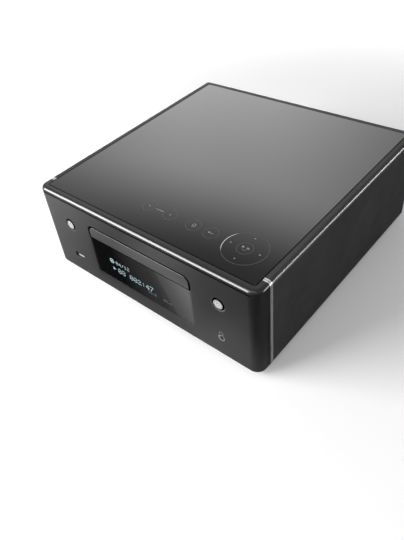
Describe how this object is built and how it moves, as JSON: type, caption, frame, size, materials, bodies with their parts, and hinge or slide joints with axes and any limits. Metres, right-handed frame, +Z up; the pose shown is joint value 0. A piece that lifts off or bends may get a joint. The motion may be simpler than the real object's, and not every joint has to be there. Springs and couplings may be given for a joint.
{
  "type": "micro hi-fi system",
  "caption": "Low wide disc receiver with a front tray, display window, round push buttons, gloss top plate, sockets and hinged rod aerials behind, and its working parts inside.",
  "frame": {"origin": "on the floor under the centre of the whole unit's box", "axes": "+X right as seen from the front, +Y to the back, +Z up"},
  "size_m": [0.28, 0.305, 0.108],
  "materials": {
    "panel_plastic": "satin dark grey",
    "cover_black": "fine matt black",
    "gloss_black": "gloss",
    "window_black": "gloss, tinted",
    "trim_metal": "brushed bright",
    "bright_metal": "turned and polished",
    "steel": "zinc plated",
    "pan_steel": "black painted steel",
    "black_plastic": "matt",
    "grey_plastic": "matt",
    "white_plastic": "matt",
    "rubber": "matt",
    "board_green": "solder resist",
    "aluminium": "extruded",
    "ferrite": "ferrite and tape",
    "lens_glass": "clear",
    "display_glass": "display glass",
    "gold": "gold plated",
    "knob_red": "moulded",
    "knob_black": "moulded",
    "printed_marks": "printed",
    "display_light": "lit display"
  },
  "bodies": {
    "cabinet": {"front_panel": "panel_plastic", "cabinet_cover": "cover_black", "trim_strip_left": "trim_metal", "trim_strip_right": "trim_metal", "top_plate": "gloss_black", "display_window": "window_black", "button_switches": "black_plastic", "usb_socket": "steel", "headphone_jack": "bright_metal", "front_board": "board_green", "display_module": "display_glass", "touch_board": "board_green", "loader_chassis": "black_plastic", "loading_motor": "steel", "clamp_bridge": "steel", "feet": "black_plastic", "foot_pads": "rubber", "bottom_chassis": "pan_steel", "rear_panel": "pan_steel", "mains_inlet": "black_plastic", "network_socket": "steel", "optical_inputs": "black_plastic", "phono_sockets": "gold", "aerial_socket": "steel", "speaker_terminals": "black_plastic", "aerial_knuckles": "black_plastic", "main_board": "board_green", "tuner_module": "steel", "network_module": "steel", "amplifier_board": "board_green", "heat_sink": "aluminium", "power_board": "board_green", "transformer": "ferrite", "capacitors": "black_plastic", "ribbon_cables": "white_plastic", "case_screws": "steel"},
    "tray": {"disc_tray": "black_plastic", "tray_door": "panel_plastic"},
    "tray_gear": {"tray_gear": "white_plastic"},
    "loading_gear": {"loading_gear": "white_plastic"},
    "motor_pinion": {"motor_pinion": "white_plastic"},
    "disc_drive": {"lift_frame": "black_plastic", "traverse_deck": "steel", "guide_rods": "bright_metal", "traverse_dampers": "rubber", "spindle_motor": "steel", "feed_motor": "steel"},
    "turntable": {"turntable": "black_plastic"},
    "pickup_sled": {"pickup_sled": "grey_plastic", "pickup_lens": "lens_glass"},
    "feed_gear": {"feed_gear": "white_plastic"},
    "clamper": {"clamper": "grey_plastic"},
    "power_button": {"power_button": "bright_metal"},
    "eject_button": {"eject_button": "bright_metal"},
    "speaker_knob_1": {"speaker_knob_1": "knob_black"},
    "speaker_knob_2": {"speaker_knob_2": "knob_red"},
    "speaker_knob_3": {"speaker_knob_3": "knob_black"},
    "speaker_knob_4": {"speaker_knob_4": "knob_red"},
    "aerial_left": {"rod_aerial_left": "black_plastic"},
    "aerial_right": {"rod_aerial_right": "black_plastic"}
  },
  "joints": [
    {"name": "tray_slide", "type": "slide", "parent": "cabinet", "child": "tray", "axis": [0, -1, 0], "range_m": [0, 0.14]},
    {"name": "tray_gear_spin", "type": "hinge", "parent": "cabinet", "child": "tray_gear", "pos_m": [-0.041, -0.1225, 0.0755], "axis": [0, 0, 1], "range_deg": [0, 668.6]},
    {"name": "loading_gear_spin", "type": "hinge", "parent": "cabinet", "child": "loading_gear", "pos_m": [-0.014, -0.1225, 0.0755], "axis": [0, 0, 1], "range_deg": [-534.9, 0]},
    {"name": "motor_pinion_spin", "type": "hinge", "parent": "cabinet", "child": "motor_pinion", "pos_m": [0.008, -0.1225, 0.0755], "axis": [0, 0, 1], "range_deg": [0, 1146.2]},
    {"name": "drive_lift", "type": "hinge", "parent": "cabinet", "child": "disc_drive", "pos_m": [0, 0.0195, 0.0634], "axis": [-1, 0, 0], "range_deg": [0, 4]},
    {"name": "turntable_spin", "type": "hinge", "parent": "disc_drive", "child": "turntable", "pos_m": [0, -0.0745, 0.0755], "axis": [0, 0, 1], "continuous": true},
    {"name": "sled_slide", "type": "slide", "parent": "disc_drive", "child": "pickup_sled", "axis": [0, 1, 0], "range_m": [0, 0.036]},
    {"name": "feed_gear_spin", "type": "hinge", "parent": "disc_drive", "child": "feed_gear", "pos_m": [0.0329, -0.0185, 0.06], "axis": [0, 0, 1], "range_deg": [-322.4, 0]},
    {"name": "clamper_spin", "type": "hinge", "parent": "cabinet", "child": "clamper", "pos_m": [0, -0.0745, 0.0835], "axis": [0, 0, 1], "continuous": true},
    {"name": "power_press", "type": "slide", "parent": "cabinet", "child": "power_button", "axis": [0, 1, 0], "range_m": [0, 0.0008], "stiffness_N_per_m": 1500, "springref_m": -0.0008},
    {"name": "eject_press", "type": "slide", "parent": "cabinet", "child": "eject_button", "axis": [0, 1, 0], "range_m": [0, 0.0008], "stiffness_N_per_m": 1500, "springref_m": -0.0008},
    {"name": "speaker_knob_1_turn", "type": "hinge", "parent": "cabinet", "child": "speaker_knob_1", "pos_m": [0.066, 0.1445, 0.034], "axis": [0, 1, 0], "range_deg": [0, 720]},
    {"name": "speaker_knob_2_turn", "type": "hinge", "parent": "cabinet", "child": "speaker_knob_2", "pos_m": [0.082, 0.1445, 0.034], "axis": [0, 1, 0], "range_deg": [0, 720]},
    {"name": "speaker_knob_3_turn", "type": "hinge", "parent": "cabinet", "child": "speaker_knob_3", "pos_m": [0.098, 0.1445, 0.034], "axis": [0, 1, 0], "range_deg": [0, 720]},
    {"name": "speaker_knob_4_turn", "type": "hinge", "parent": "cabinet", "child": "speaker_knob_4", "pos_m": [0.114, 0.1445, 0.034], "axis": [0, 1, 0], "range_deg": [0, 720]},
    {"name": "aerial_left_fold", "type": "hinge", "parent": "cabinet", "child": "aerial_left", "pos_m": [-0.129, 0.1403, 0.088], "axis": [1, 0, 0], "range_deg": [0, 180]},
    {"name": "aerial_right_fold", "type": "hinge", "parent": "cabinet", "child": "aerial_right", "pos_m": [0.129, 0.1403, 0.088], "axis": [1, 0, 0], "range_deg": [0, 180]}
  ],
  "couplings": [
    {"joint": "tray_gear_spin", "follows": "tray_slide", "rad_per_m": 83.333},
    {"joint": "loading_gear_spin", "follows": "tray_slide", "rad_per_m": -66.667},
    {"joint": "motor_pinion_spin", "follows": "tray_slide", "rad_per_m": 142.86},
    {"joint": "feed_gear_spin", "follows": "sled_slide", "rad_per_m": -156.25}
  ]
}
